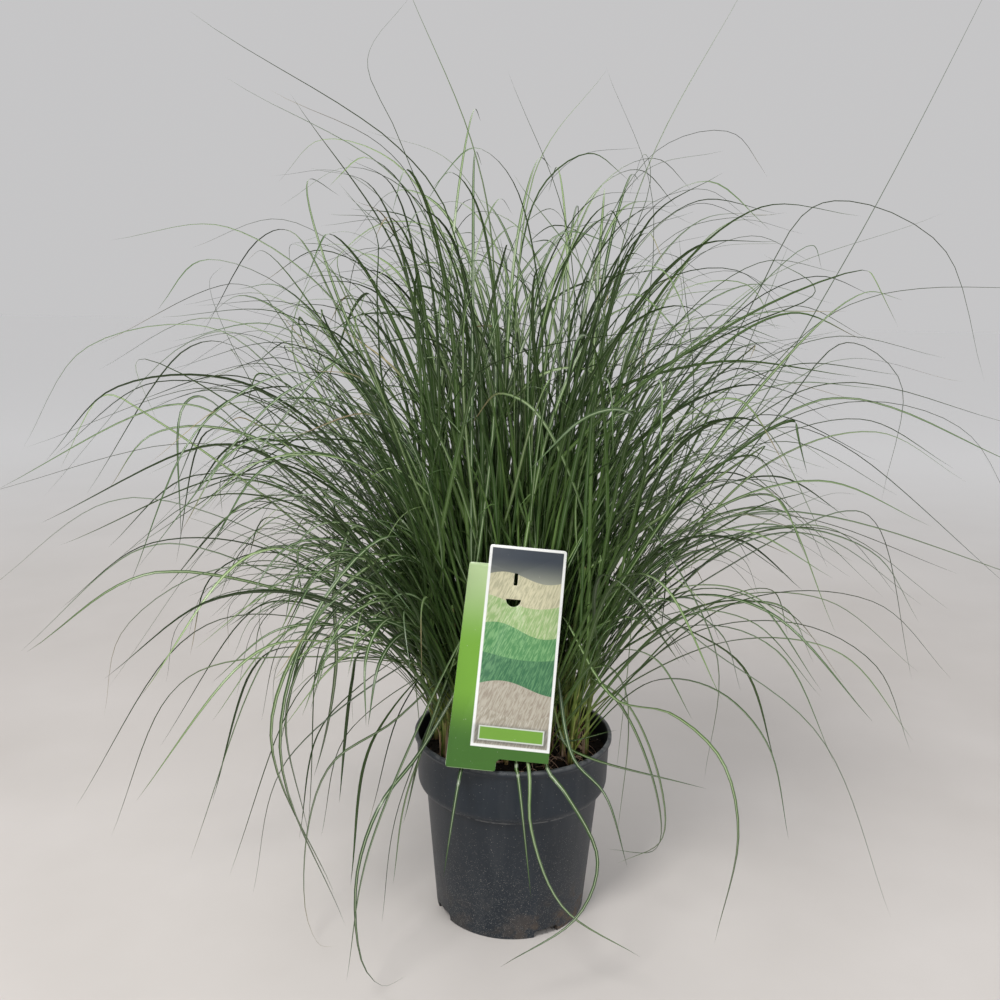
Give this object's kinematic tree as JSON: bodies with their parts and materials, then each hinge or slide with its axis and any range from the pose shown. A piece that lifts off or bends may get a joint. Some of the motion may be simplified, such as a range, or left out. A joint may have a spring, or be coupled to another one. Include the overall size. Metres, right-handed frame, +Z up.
{
  "type": "potted adagio maiden grass",
  "caption": "Dense fountain of fine arching grass leaves in a round, tapered nursery container with soil and a plain-designed plant label.",
  "frame": {"origin": "on the container's axis, at the level that it stands on", "axes": "+Z up along the container's axis, -Y towards the front where the label stands, +X to the right seen from the front"},
  "size_m": [1.1133, 0.8399, 1.045],
  "materials": {
    "container": "moulded, anthracite, finely speckled",
    "soil": "moist dark peat with fibres",
    "label": "printed, glossy, white border",
    "leaf": "satin green with a pale midrib"
  },
  "bodies": {
    "root": {"pot": "container", "soil": "soil", "plant_label": "label", "tiller_01": "leaf", "tiller_02": "leaf", "tiller_03": "leaf", "tiller_04": "leaf", "tiller_05": "leaf", "tiller_06": "leaf", "tiller_07": "leaf", "tiller_08": "leaf", "tiller_09": "leaf", "tiller_10": "leaf", "tiller_11": "leaf", "tiller_12": "leaf", "tiller_13": "leaf", "tiller_14": "leaf", "tiller_15": "leaf", "tiller_16": "leaf", "tiller_17": "leaf", "tiller_18": "leaf", "tiller_19": "leaf", "tiller_20": "leaf", "tiller_21": "leaf", "tiller_22": "leaf", "tiller_23": "leaf", "tiller_24": "leaf", "tiller_25": "leaf", "tiller_26": "leaf", "tiller_27": "leaf", "tiller_28": "leaf", "tiller_29": "leaf", "tiller_30": "leaf", "tiller_31": "leaf", "tiller_32": "leaf", "tiller_33": "leaf", "tiller_34": "leaf", "tiller_35": "leaf", "tiller_36": "leaf", "tiller_37": "leaf", "tiller_38": "leaf", "tiller_39": "leaf", "tiller_40": "leaf", "tiller_41": "leaf", "tiller_42": "leaf", "tiller_43": "leaf", "tiller_44": "leaf", "tiller_45": "leaf", "tiller_46": "leaf"}
  },
  "joints": []
}
